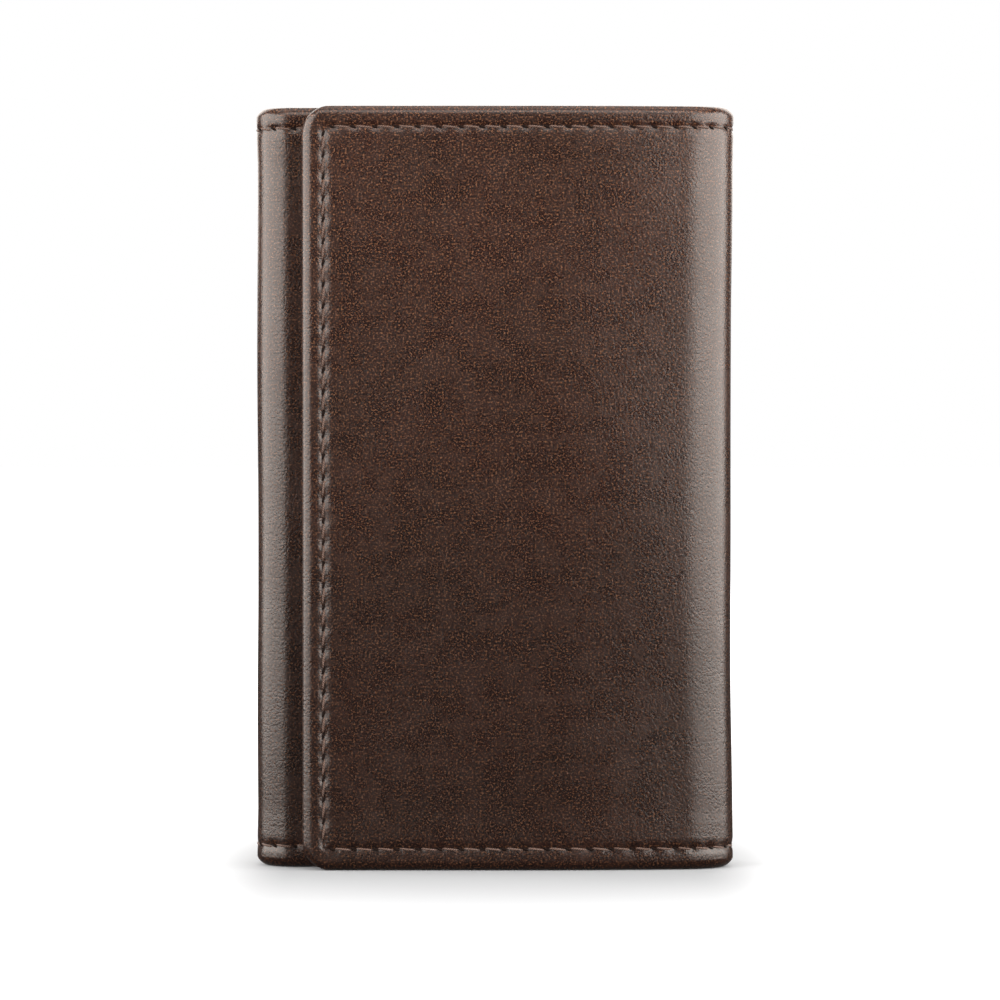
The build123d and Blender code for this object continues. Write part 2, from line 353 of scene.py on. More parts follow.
def unroll(mesh, flat):
    """Write each point's place on the unrolled hide, in metres, as the UV map."""
    loops = np.empty(len(mesh.loops), dtype=np.int32)
    mesh.loops.foreach_get("vertex_index", loops)
    uv = mesh.uv_layers.new(name="hide")
    uv.data.foreach_set("uv", np.asarray(flat)[loops].astype(np.float32).ravel())


def finished(name, mesh, material):
    """Shade a mesh smooth, give it its material and put it in the scene as a piece."""
    mesh.polygons.foreach_set("use_smooth", np.ones(len(mesh.polygons), dtype=bool))
    mesh.materials.append(material)
    piece = bpy.data.objects.new(name, mesh)
    bpy.context.scene.collection.objects.link(piece)
    return piece


def build(name, parts, material):
    """Join closed shells into one smooth-shaded piece.

    parts is a list of (vertices, faces, unrolled, edge distance). Points that coincide are
    merged, faces are turned outwards, and sharp edges stay crisp. The unrolled place becomes
    the UV map and the edge distance an attribute.
    """
    start, all_points, all_faces, all_flat, all_edge = 0, [], [], [], []
    for points, faces, flat, edge in parts:
        all_points.append(points)
        all_faces.append(faces + start)
        all_flat.append(flat)
        all_edge.append(edge)
        start += len(points)
    mesh = bpy.data.meshes.new(name)
    mesh.from_pydata(np.concatenate(all_points), [], np.concatenate(all_faces).tolist())
    unroll(mesh, np.concatenate(all_flat))
    edge = mesh.attributes.new("edge_mm", "FLOAT", "POINT")
    edge.data.foreach_set("value", (np.concatenate(all_edge) / MM).astype(np.float32))
    work = bmesh.new()
    work.from_mesh(mesh)
    bmesh.ops.remove_doubles(work, verts=work.verts, dist=1e-7)
    bmesh.ops.recalc_face_normals(work, faces=work.faces)
    for line in work.edges:
        line.smooth = len(line.link_faces) != 2 or line.calc_face_angle() < SHARP_ANGLE
    work.to_mesh(mesh)
    work.free()
    return finished(name, mesh, material)


def build_small(name, points, faces, flat, material):
    """A smooth piece made of many small closed shapes, with its unrolled place as UV map."""
    mesh = bpy.data.meshes.new(name)
    mesh.from_pydata(points, [], faces)
    unroll(mesh, flat)
    work = bmesh.new()
    work.from_mesh(mesh)
    bmesh.ops.recalc_face_normals(work, faces=work.faces)
    work.to_mesh(mesh)
    work.free()
    return finished(name, mesh, material)


def stitch_tubes(starts, turns):
    """Arched tubes of thread, one for each stitch.

    starts holds each stitch's middle as (along, up) and turns its direction as an angle from
    the along direction. A tube's centre line runs its length and rises as sin(pi t) to the power
    0.6, and its radius swells as the fourth root of sin(pi t), so both ends dip into the hide.
    """
    sides, rings = 7, 8
    t = np.linspace(0, 1, rings)
    around = np.linspace(0, 2 * math.pi, sides, endpoint=False)
    swell = THREAD_RADIUS * (0.35 + 0.65 * np.sin(math.pi * t) ** 0.25)
    run = (t - 0.5)[:, None] * STITCH_LENGTH + 0 * around
    across = swell[:, None] * np.cos(around)
    rise = THREAD_RADIUS * (1.05 * np.sin(math.pi * t) ** 0.6 - 0.75)[:, None]
    rise = rise + swell[:, None] * np.sin(around)
    starts, turns = np.asarray(starts), np.asarray(turns)
    cos, sin = np.cos(turns)[:, None, None], np.sin(turns)[:, None, None]
    along = starts[:, 0, None, None] + run * cos - across * sin
    up = starts[:, 1, None, None] + run * sin + across * cos
    x, y = hide_point(along, seam_depth(along) - rise)
    points = np.stack([x, y, up], axis=-1).reshape(-1, 3)
    ring = np.arange(rings * sides).reshape(rings, sides)
    ring = np.concatenate([ring, ring[:, :1]], axis=1)
    last = (rings - 1) * sides
    near_cap = [[0, k, k + 1] for k in range(1, sides - 1)]
    far_cap = [[last, last + k + 1, last + k] for k in range(1, sides - 1)]
    step = np.arange(len(starts))[:, None, None] * rings * sides
    walls = (grid_faces(ring)[None] + step).reshape(-1, 4).tolist()
    ends = (np.array(near_cap + far_cap)[None] + step).reshape(-1, 3).tolist()
    flat = np.stack([np.broadcast_to(run, along.shape),
                     np.broadcast_to(around * THREAD_RADIUS, along.shape)], axis=-1).reshape(-1, 2)
    return points, walls + ends, flat


def needle_slits(starts, turns):
    """Painted shade of the slanted slits where the needle went in: dark flattened domes, each a small
    fan of faces.

    A slit is a buried ellipse, 1.16 mm by 0.4 mm, a smaller one just above the groove, a crown
    over it and a keel below.
    """
    sides = 10
    around = np.linspace(0, 2 * math.pi, sides, endpoint=False)
    rim_length, rim_width, rim_rise = 0.58 * MM, 0.2 * MM, -0.05 * MM
    lid_length, lid_width, lid_rise = 0.4 * MM, 0.13 * MM, 0.035 * MM
    crown_rise, keel_rise = 0.045 * MM, -0.08 * MM
    run = np.concatenate([rim_length * np.cos(around), lid_length * np.cos(around), [0, 0]])
    across = np.concatenate([rim_width * np.sin(around), lid_width * np.sin(around), [0, 0]])
    rise = np.concatenate([0 * around + rim_rise, 0 * around + lid_rise, [crown_rise, keel_rise]])
    starts, turns = np.asarray(starts), np.asarray(turns) + SLIT_SLANT
    cos, sin = np.cos(turns)[:, None], np.sin(turns)[:, None]
    along = starts[:, :1] + run * cos - across * sin
    up = starts[:, 1:] + run * sin + across * cos
    x, y = hide_point(along, seam_depth(along) - rise)
    points = np.stack([x, y, up], axis=-1).reshape(-1, 3)
    low = np.arange(sides)
    after = (low + 1) % sides
    band = np.stack([low, after, after + sides, low + sides], axis=-1)
    lid = np.stack([low + sides, after + sides, 0 * low + 2 * sides], axis=-1)
    base = np.stack([after, low, 0 * low + 2 * sides + 1], axis=-1)
    step = np.arange(len(starts))[:, None, None] * (2 * sides + 2)
    faces = (band[None] + step).reshape(-1, 4).tolist()
    faces += (lid[None] + step).reshape(-1, 3).tolist()
    faces += (base[None] + step).reshape(-1, 3).tolist()
    flat = np.stack([along, up], axis=-1).reshape(-1, 2)
    return points, faces, flat


# Materials

# Scale that turns metres into millimetres in a pattern
PER_MM = (1000, 1000, 1000)


def linear_colour(code):
    """Linear RGBA from an sRGB hex value: ((c + 0.055) / 1.055)^2.4 above 0.04045."""
    channels = [int(code[i:i + 2], 16) / 255 for i in (1, 3, 5)]
    linear = [c / 12.92 if c <= 0.04045 else ((c + 0.055) / 1.055) ** 2.4 for c in channels]
    return (*linear, 1.0)


def add(tree, kind, inputs=None, **settings):
    """Add a node, set its properties, and set or link its inputs."""
    made = tree.nodes.new(kind)
    for key, value in settings.items():
        setattr(made, key, value)
    for key, value in (inputs or {}).items():
        if isinstance(value, bpy.types.NodeSocket):
            tree.links.new(value, made.inputs[key])
        else:
            made.inputs[key].default_value = value
    return made


def new_material(name, colour, roughness):
    """A material with one Principled shader; returns it, its node tree and the shader."""
    material = bpy.data.materials.new(name)
    material.use_nodes = True
    tree = material.node_tree
    shader = next(n for n in tree.nodes if n.type == "BSDF_PRINCIPLED")
    shader.inputs["Base Color"].default_value = linear_colour(colour)
    shader.inputs["Roughness"].default_value = roughness
    material.diffuse_color = linear_colour(colour)
    return material, tree, shader


def leather(name, deep, tone, worn, fleck, roughness, pebble_mm, relief_mm):
    """Chrome-tanned cowhide, drum dyed and hot waxed.

    It gives a fine pebble grain that breaks the highlight into specks, cloudy lighter patches
    where the wax has moved, dark pores and tan flecks, paler burnished edges, and painted light:
    a colour that runs from deeper near the lower edge to brighter towards the top, standing in
    for the light that falls from above. Pattern scales are in repeats per millimetre.
    """
    material, tree, shader = new_material(name, tone, roughness)
    shader.inputs["IOR"].default_value = 1.5
    shader.inputs["Sheen Weight"].default_value = 0.01
    shader.inputs["Sheen Roughness"].default_value = 0.5
    place = add(tree, "ShaderNodeUVMap", uv_map="hide").outputs["UV"]
    flat = add(tree, "ShaderNodeMapping", {"Vector": place, "Scale": PER_MM}).outputs["Vector"]
    wobble = add(tree, "ShaderNodeTexNoise", {"Vector": flat, "Scale": 0.9, "Detail": 2.0})
    shift = add(tree, "ShaderNodeVectorMath", {0: wobble.outputs["Color"], 1: (0.5, 0.5, 0.5)},
                operation="MULTIPLY").outputs[0]
    bent = add(tree, "ShaderNodeVectorMath", {0: flat, 1: shift}, operation="ADD").outputs[0]
    pebble = add(tree, "ShaderNodeTexVoronoi",
                 {"Vector": bent, "Scale": 1 / pebble_mm, "Smoothness": 0.6, "Randomness": 1.0},
                 feature="SMOOTH_F1")
    crease = add(tree, "ShaderNodeTexVoronoi", {"Vector": bent, "Scale": 0.42 / pebble_mm},
                 feature="DISTANCE_TO_EDGE")
    fine = add(tree, "ShaderNodeTexNoise",
               {"Vector": flat, "Scale": 2.4 / pebble_mm, "Detail": 3.0, "Roughness": 0.6})
    cloud = add(tree, "ShaderNodeTexNoise", {"Vector": flat, "Scale": 1 / 17.0, "Detail": 4.0,
                                             "Roughness": 0.55, "Distortion": 0.4})
    mottle = add(tree, "ShaderNodeTexNoise",
                 {"Vector": flat, "Scale": 1 / 4.5, "Detail": 4.0, "Roughness": 0.7})
    cloudy = add(tree, "ShaderNodeMapRange",
                 {"Value": cloud.outputs["Fac"], "From Min": 0.2, "From Max": 0.8}).outputs["Result"]
    mottled = add(tree, "ShaderNodeMapRange",
                  {"Value": mottle.outputs["Fac"], "From Min": 0.35, "From Max": 0.75,
                   "To Min": 0.0, "To Max": 0.35}).outputs["Result"]
    base = add(tree, "ShaderNodeMix", {0: cloudy, 6: linear_colour(deep), 7: linear_colour(tone)},
               data_type="RGBA").outputs[2]
    base = add(tree, "ShaderNodeMix", {0: mottled, 6: base, 7: linear_colour(worn)},
               data_type="RGBA").outputs[2]
    pore = add(tree, "ShaderNodeMapRange",
               {"Value": pebble.outputs["Distance"], "From Min": 0.35, "From Max": 0.85,
                "To Min": 0.0, "To Max": 0.45}).outputs["Result"]
    base = add(tree, "ShaderNodeMix", {0: pore, 6: base, 7: linear_colour("#100907")},
               data_type="RGBA").outputs[2]
    edge = add(tree, "ShaderNodeAttribute", attribute_name="edge_mm").outputs["Fac"]
    rub = add(tree, "ShaderNodeMapRange",
              {"Value": edge, "From Min": 0.0, "From Max": 1.3, "To Min": 0.42, "To Max": 0.0})
    rub = add(tree, "ShaderNodeMath", {0: rub.outputs["Result"], 1: fine.outputs["Fac"]},
              operation="MULTIPLY").outputs[0]
    base = add(tree, "ShaderNodeMix", {0: rub, 6: base, 7: linear_colour(worn)},
               data_type="RGBA").outputs[2]
    grain = add(tree, "ShaderNodeTexNoise", {"Vector": flat, "Scale": 3.4, "Detail": 1.5,
                                             "Roughness": 0.8}).outputs["Fac"]
    light_speck = add(tree, "ShaderNodeMapRange",
                      {"Value": grain, "From Min": 0.55, "From Max": 0.69, "To Max": 0.7})
    base = add(tree, "ShaderNodeMix",
               {0: light_speck.outputs["Result"], 6: base, 7: linear_colour(fleck)},
               data_type="RGBA").outputs[2]
    # Painted light: the base colour is scaled from 0.7 at 30 mm up the hide to 1.2 at 100 mm,
    # brighter at the top as if lit from above
    height_up = add(tree, "ShaderNodeSeparateXYZ", {"Vector": place}).outputs["Y"]
    painted_top_light = add(tree, "ShaderNodeMapRange", {"Value": height_up, "From Min": 30 * MM,
                                             "From Max": 100 * MM, "To Min": 0.7, "To Max": 1.2})
    dark_speck = add(tree, "ShaderNodeMapRange", {"Value": grain, "From Min": 0.38,
                                                  "From Max": 0.56, "To Min": 0.15, "To Max": 1.3})
    # The painted top light times the dark grain specks
    shade = add(tree, "ShaderNodeMath",
                {0: painted_top_light.outputs["Result"], 1: dark_speck.outputs["Result"]},
                operation="MULTIPLY").outputs[0]
    base = add(tree, "ShaderNodeVectorMath", {0: base, "Scale": shade}, operation="SCALE").outputs[0]
    tree.links.new(base, shader.inputs["Base Color"])
    rough = add(tree, "ShaderNodeMapRange",
                {"Value": mottle.outputs["Fac"], "From Min": 0.3, "From Max": 0.7,
                 "To Min": roughness - 0.03, "To Max": roughness + 0.06}).outputs["Result"]
    tree.links.new(rough, shader.inputs["Roughness"])
    height = add(tree, "ShaderNodeMath",
                 {0: pebble.outputs["Distance"], 1: -1.0}, operation="MULTIPLY").outputs[0]
    line = add(tree, "ShaderNodeMapRange",
               {"Value": crease.outputs["Distance"], "From Min": 0.0, "From Max": 0.12,
                "To Min": -0.5, "To Max": 0.0}).outputs["Result"]
    height = add(tree, "ShaderNodeMath", {0: height, 1: line}, operation="ADD").outputs[0]
    height = add(tree, "ShaderNodeMath",
                 {0: fine.outputs["Fac"], 1: 0.5, 2: height}, operation="MULTIPLY_ADD").outputs[0]
    bump = add(tree, "ShaderNodeBump",
               {"Height": height, "Strength": 0.15, "Distance": relief_mm * MM})
    tree.links.new(bump.outputs["Normal"], shader.inputs["Normal"])
    return material


def twill(name, deep, tone):
    """Polyester twill lining: fine diagonal ribs about half a millimetre apart, and a matt,
    slightly silky face."""
    material, tree, shader = new_material(name, tone, 0.72)
    shader.inputs["Sheen Weight"].default_value = 0.3
    shader.inputs["Sheen Roughness"].default_value = 0.4
    place = add(tree, "ShaderNodeUVMap", uv_map="hide").outputs["UV"]
    turned = add(tree, "ShaderNodeMapping",
                 {"Vector": place, "Scale": PER_MM, "Rotation": (0, 0, math.radians(45))})
    flat = turned.outputs["Vector"]
    rib = add(tree, "ShaderNodeTexWave", {"Vector": flat, "Scale": 0.62, "Distortion": 0.6,
                                          "Detail": 2.0, "Detail Scale": 3.0})
    slub = add(tree, "ShaderNodeTexNoise", {"Vector": flat, "Scale": 1.7, "Detail": 3.0})
    shade = add(tree, "ShaderNodeMath", {0: rib.outputs["Fac"], 1: slub.outputs["Fac"]},
                operation="MULTIPLY").outputs[0]
    base = add(tree, "ShaderNodeMix", {0: shade, 6: linear_colour(deep), 7: linear_colour(tone)},
               data_type="RGBA").outputs[2]
    tree.links.new(base, shader.inputs["Base Color"])
    bump = add(tree, "ShaderNodeBump", {"Height": shade, "Strength": 0.6, "Distance": 0.12 * MM})
    tree.links.new(bump.outputs["Normal"], shader.inputs["Normal"])
    return material


def thread_cord(name, deep, tone):
    """Bonded polyester thread: twisted plies a quarter of a millimetre apart, and a waxy gleam."""
    material, tree, shader = new_material(name, tone, 0.5)
    shader.inputs["Sheen Weight"].default_value = 0.15
    place = add(tree, "ShaderNodeUVMap", uv_map="hide").outputs["UV"]
    turned = add(tree, "ShaderNodeMapping",
                 {"Vector": place, "Scale": PER_MM, "Rotation": (0, 0, math.radians(35))})
    ply = add(tree, "ShaderNodeTexWave", {"Vector": turned.outputs["Vector"], "Scale": 1.2,
                                          "Distortion": 1.0, "Detail": 1.0})
    base = add(tree, "ShaderNodeMix",
               {0: ply.outputs["Fac"], 6: linear_colour(deep), 7: linear_colour(tone)},
               data_type="RGBA").outputs[2]
    tree.links.new(base, shader.inputs["Base Color"])
    bump = add(tree, "ShaderNodeBump",
               {"Height": ply.outputs["Fac"], "Strength": 0.6, "Distance": 0.08 * MM})
    tree.links.new(bump.outputs["Normal"], shader.inputs["Normal"])
    return material


def needle_hole(name):
    """Painted shade for the inside of a needle slit: nearly black, dull, faintly uneven."""
    material, tree, shader = new_material(name, "#120b09", 0.85)
    shader.inputs["Specular IOR Level"].default_value = 0.1
    place = add(tree, "ShaderNodeUVMap", uv_map="hide").outputs["UV"]
    speck = add(tree, "ShaderNodeTexNoise", {"Vector": place, "Scale": 3000.0})
    base = add(tree, "ShaderNodeMix", {0: speck.outputs["Fac"], 6: linear_colour("#0b0706"),
                                       7: linear_colour("#1d1310")}, data_type="RGBA").outputs[2]
    tree.links.new(base, shader.inputs["Base Color"])
    return material


def clear_film(name):
    """Soft clear vinyl, calendered: glossy, very slightly wavy, with a faint grey cast."""
    material, tree, shader = new_material(name, "#b9bdbe", 0.12)
    shader.inputs["Alpha"].default_value = 0.16
    shader.inputs["IOR"].default_value = 1.53
    place = add(tree, "ShaderNodeTexCoord").outputs["Object"]
    ripple = add(tree, "ShaderNodeTexNoise", {"Vector": place, "Scale": 90.0, "Detail": 2.0})
    bump = add(tree, "ShaderNodeBump",
               {"Height": ripple.outputs["Fac"], "Strength": 0.3, "Distance": 0.2 * MM})
    tree.links.new(bump.outputs["Normal"], shader.inputs["Normal"])
    return material


waxed_cowhide = leather("waxed_cowhide", deep="#1b0d08", tone="#27110a", worn="#361b11",
                        fleck="#654630", roughness=0.26, pebble_mm=0.36, relief_mm=0.13)
split_calf = leather("lining_calf", deep="#38221a", tone="#4c3025", worn="#66453a",
                     fleck="#7a5744", roughness=0.52, pebble_mm=0.36, relief_mm=0.06)
lining_twill = twill("polyester_twill", deep="#1d120e", tone="#4a3329")
bonded_thread = thread_cord("bonded_thread", deep="#2e1b14", tone="#5e4437")
painted_slit_shade = needle_hole("needle_slit_painted_shade")
vinyl = clear_film("clear_vinyl")


# Pieces


def mount(piece, body, nodes):
    """Let a piece ride on a body and hide the CAD nodes that it replaces."""
    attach(piece, body)
    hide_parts(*nodes)


def along_of_centre(x):
    """Length along the hide of a place on the middle panel."""
    return CENTRE_START + (x - LEFT_X)


def hide_sheet(low, high, free_low=False, free_high=False):
    """A stretch of the outer hide with its hems, board and turned edges."""
    return Sheet(low, high, 0.0, HIDE_THICK, free_low=free_low, free_high=free_high,
                 corner=CORNER if free_low or free_high else 0.0, relief=hem_relief, roll=HIDE_ROLL)


def bay_sheets(low, high, free_low=False, free_high=False):
    """The note bay's lining and divider over the same stretch."""
    low += BAY_INSET if free_low else 0
    high -= BAY_INSET if free_high else 0
    lining = Sheet(low, high, LINING_DEPTH, LINING_THICK, BAY_INSET, HEIGHT - BAY_INSET,
                   free_low, free_high, step=BAY_GRID)
    divider = Sheet(low, high, DIVIDER_DEPTH, DIVIDER_THICK, BAY_INSET, HEIGHT - BAY_OPENING,
                    free_low, free_high, step=BAY_GRID)
    return [lining, divider]


def row_stitches(low, high):
    """Middles of the stitches of the top and bottom rows between two lengths.

    The rows count from the middle of the right fold, so they run on over both folds.
    """
    first = math.ceil((low - ROW_ORIGIN) / PITCH - 0.5)
    last = math.ceil((high - ROW_ORIGIN) / PITCH - 0.5)
    along = ROW_ORIGIN + (np.arange(first, last) + 0.5) * PITCH
    bottom = np.stack([along, 0 * along + ROW], axis=-1)
    top = np.stack([along, 0 * along + HEIGHT - ROW], axis=-1)
    return np.concatenate([bottom, top])


def side_stitches(along):
    """Middles of the stitches of an upright row at one length along the hide."""
    up = HEIGHT / 2 + (np.arange(SIDE_COUNT) - (SIDE_COUNT - 1) / 2) * PITCH
    return np.stack([0 * up + along, up], axis=-1)


def sew(name, level, upright, body, nodes, blended=None):
    """Thread and the painted shade of needle slits for level rows and an upright row; they ride on a
    body together or, when blended is given, stay where they are.
    """
    middles = np.concatenate([level, upright])
    turns = np.concatenate([np.full(len(level), STITCH_SLANT),
                            np.full(len(upright), math.pi / 2 + STITCH_SLANT)])
    heading = np.concatenate([np.zeros(len(level)), np.full(len(upright), math.pi / 2)])
    ahead = np.stack([np.cos(heading), np.sin(heading)], axis=-1) * PITCH / 2
    points, faces, flat = stitch_tubes(middles, turns)
    thread = build_small(name + "_thread", points, faces, flat, bonded_thread)
    # The needle slits are painted shade: dark domes standing in for the shadow inside each hole
    points, faces, flat = needle_slits(middles + ahead, heading)
    slits = build_small(name + "_needle_slits", points, faces, flat, painted_slit_shade)
    for piece, slot in ((thread, "thread"), (slits, "hide")):
        if blended:
            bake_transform(piece)
        else:
            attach(piece, body)
    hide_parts(*nodes)


def panel(body, low, high, free_low, free_high):
    """The layers that every panel has: hide over board, note bay, and the seams round them."""
    hide = build(body + "_hide", [hide_sheet(low, high, free_low, free_high).mesh_parts()],
                 waxed_cowhide)
    mount(hide, body, [body + "_shell_leather", body + "_stiffener_board"])
    layers = [s.mesh_parts() for s in bay_sheets(low, high, free_low, free_high)]
    bay = build(body + "_note_bay", layers, lining_twill)
    mount(bay, body, [body + "_bay_lining", body + "_bay_divider"])
    turn_in = ROW + PITCH * 0.35
    level = row_stitches(low + (turn_in if free_low else 0), high - (turn_in if free_high else 0))
    upright = np.zeros((0, 2))
    if free_low:
        upright = side_stitches(low + ROW)
    if free_high:
        upright = side_stitches(high - ROW)
    sew(body, level, upright, body, [body + "_thread"])


def fold(side, radius, start, bend, margin, order, strips):
    """A fold's hide and note bay in four lengths, each round one hinge line.

    The lengths meet in the middle of the rigid strips.
    order lists the bodies met along the hide, and strips the number of the strip whose CAD
    nodes each length replaces, or 0.
    """
    probe = 1 * MM
    sixth = math.pi * radius / 6
    cuts = [start - margin, start + sixth, start + 3 * sixth, start + 5 * sixth,
            start + 6 * sixth + margin]
    for k in range(4):
        low, high = cuts[k], cuts[k + 1]
        hinge = start + 2 * k * sixth
        x, y = circle_point(np.array([hinge]), np.array([0.0]))
        deeper_x, deeper_y = circle_point(np.array([hinge]), np.array([probe]))
        inward = np.array([deeper_x[0] - x[0], deeper_y[0] - y[0]]) / probe
        travel = np.array([-inward[1], inward[0]])
        middle = np.array([x[0], y[0]])
        ends = [(*(middle + travel * bend * sign), HEIGHT / 2) for sign in (-1, 1)]
        blended = (order[k], order[k + 1], *ends)
        name = side + "_fold_" + str(k + 1)
        nodes = [side + "_strip_" + str(strips[k])] if strips[k] else []
        hide = build(name + "_hide", [hide_sheet(low, high).mesh_parts()], waxed_cowhide)
        layers = [s.mesh_parts() for s in bay_sheets(low, high)]
        bay = build(name + "_note_bay", layers, lining_twill)
        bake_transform(hide)
        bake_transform(bay)
        for node in nodes:
            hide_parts(node + "_leather")
            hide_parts(node + "_lining", node + "_divider")
        sew(name, row_stitches(low, high), np.zeros((0, 2)), None,
            [node + "_thread" for node in nodes], blended=blended)


def pocket(name, body, sheet, material, nodes):
    """A pocket face or film that rides on a panel."""
    mount(build(name, [sheet.mesh_parts()], material), body, nodes)


def ring_plate(name, low, high, bottom, top, hole_width, hole_height, hole_z, depth, thick,
               material):
    """A flat frame: a ring grid between a rounded window and the plate's outline.

    Both outlines are superellipses |x/a|^n + |z/b|^n = 1, of power 12 for the window and 60 for
    the plate, and the grid runs from one to the other; the section round the rim is a half
    circle at each side.
    """
    around = np.linspace(0, 2 * math.pi, 260, endpoint=False)
    cos, sin = np.cos(around), np.sin(around)
    mid_along, mid_up = (low + high) / 2, (bottom + top) / 2

    def outline(a, b, power, along, up):
        """Points of a superellipse at even angles of its own stretched circle."""
        scale = (np.abs(cos) ** power + np.abs(sin) ** power) ** (-1 / power)
        return along + a * scale * cos, up + b * scale * sin

    inner_a, inner_z = outline(hole_width / 2, hole_height / 2, 12, mid_along, hole_z)
    outer_a, outer_z = outline((high - low) / 2, (top - bottom) / 2, 60, mid_along, mid_up)
    rim = thick / 2
    turn = np.linspace(-math.pi / 2, math.pi / 2, 7)
    inner_run = -rim * np.cos(turn) + rim
    levels = rim * np.sin(turn)
    width = np.hypot(outer_a - inner_a, outer_z - inner_z)
    section = []
    for level, offset in zip(levels, inner_run):
        section.append((offset / width, level))
    for share in (0.3, 0.7):
        section.append((0 * width + share, rim))
    for level, offset in zip(levels[::-1], inner_run):
        section.append((1 - offset / width, level))
    for share in (0.7, 0.3):
        section.append((0 * width + share, -rim))
    along = np.stack([inner_a + (outer_a - inner_a) * share for share, level in section])
    up = np.stack([inner_z + (outer_z - inner_z) * share for share, level in section])
    deep = np.stack([0 * width + depth + rim - level for share, level in section])
    x, y = hide_point(along, deep)
    points = np.stack([x, y, up], axis=-1).reshape(-1, 3)
    index = np.arange(along.size).reshape(along.shape)
    index = np.concatenate([index, index[:1]], axis=0)
    index = np.concatenate([index, index[:, :1]], axis=1)
    flat = np.stack([along, up], axis=-1).reshape(-1, 2)
    return build(name, [(points, grid_faces(index), flat, np.full(len(points), 5 * MM))], material)


panel("inner_flap", 0.0, LEFT_START - LEFT_MARGIN, True, False)
panel("centre", CENTRE_START + LEFT_MARGIN, RIGHT_START - RIGHT_MARGIN, False, False)
panel("outer_flap", OUTER_START + RIGHT_MARGIN, HIDE_END, False, True)
fold("left", LEFT_RADIUS, LEFT_START, LEFT_BEND, LEFT_MARGIN,
     ["inner_flap", "left_strip_3", "left_strip_2", "left_strip_1", "centre"], [3, 2, 1, 0])
fold("right", RIGHT_RADIUS, RIGHT_START, RIGHT_BEND, RIGHT_MARGIN,
     ["centre", "right_strip_1", "right_strip_2", "right_strip_3", "outer_flap"], [1, 2, 3, 0])

# Card slots of the middle panel
slot_low, slot_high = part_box("centre_card_slot_back")[0][0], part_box("centre_card_slot_back")[1][0]
for step, level in enumerate(("back", "middle", "front")):
    node = "centre_card_slot_" + level
    low_corner, high_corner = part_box(node)
    depth = POCKET_DEPTH + step * (POCKET_GAP + SLOT_THICK) + POCKET_GAP
    face = Sheet(along_of_centre(slot_low), along_of_centre(slot_high), depth, SLOT_THICK,
                 low_corner[2], high_corner[2], True, True, relief=pocket_relief,
                 step=POCKET_GRID, notch=NOTCH_DEPTH)
    pocket(node, "centre", face, split_calf, [node])

# Slip pockets of the two flaps
for body, start, fold_x, sign in (("inner_flap", LEFT_START, LEFT_X, -1),
                                  ("outer_flap", OUTER_START, RIGHT_X, 1)):
    node = body + "_slip_pocket"
    low_corner, high_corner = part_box(node)
    lengths = sorted(start + sign * abs(x - fold_x) for x in (low_corner[0], high_corner[0]))
    face = Sheet(*lengths, POCKET_DEPTH + POCKET_GAP, SLIP_THICK, low_corner[2], high_corner[2],
                 True, True, relief=pocket_relief, step=POCKET_GRID)
    pocket(node, body, face, split_calf, [node])

# Clear window of the outer flap
frame_low, frame_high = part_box("outer_flap_window_frame")
film_low, film_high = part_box("outer_flap_window_film")
film_margin = 2.5 * MM
slip_face = POCKET_DEPTH + POCKET_GAP + SLIP_THICK
window = ring_plate("outer_flap_window_frame",
                    OUTER_START + RIGHT_X - frame_high[0], OUTER_START + RIGHT_X - frame_low[0],
                    frame_low[2], frame_high[2],
                    film_high[0] - film_low[0] - 2 * film_margin,
                    film_high[2] - film_low[2] - 2 * film_margin,
                    (film_low[2] + film_high[2]) / 2, slip_face + WINDOW_GAP, FRAME_THICK,
                    split_calf)
mount(window, "outer_flap", ["outer_flap_window_frame"])
film = Sheet(OUTER_START + RIGHT_X - film_high[0], OUTER_START + RIGHT_X - film_low[0],
             slip_face + FILM_GAP, FILM_THICK, film_low[2], film_high[2], True, True,
             step=FILM_GRID)
pocket("outer_flap_window_film", "outer_flap", film, vinyl,
       ["outer_flap_window_film"])


# Floor, light and camera


REACH = 4.0
# Half sizes of the floor area under the wallet that doesn't glow, once X is stretched as below
FOOTPRINT = (0.150, 0.008, 0.0)
FOOTPRINT_STRETCH = (5, 1, 1)
# The floor's glow: how far each ramp runs and how strong it gets
NEAR_RUN, NEAR_GLOW = 0.10, 0.5
FAR_RUN, FAR_GLOW = 0.5, 0.6


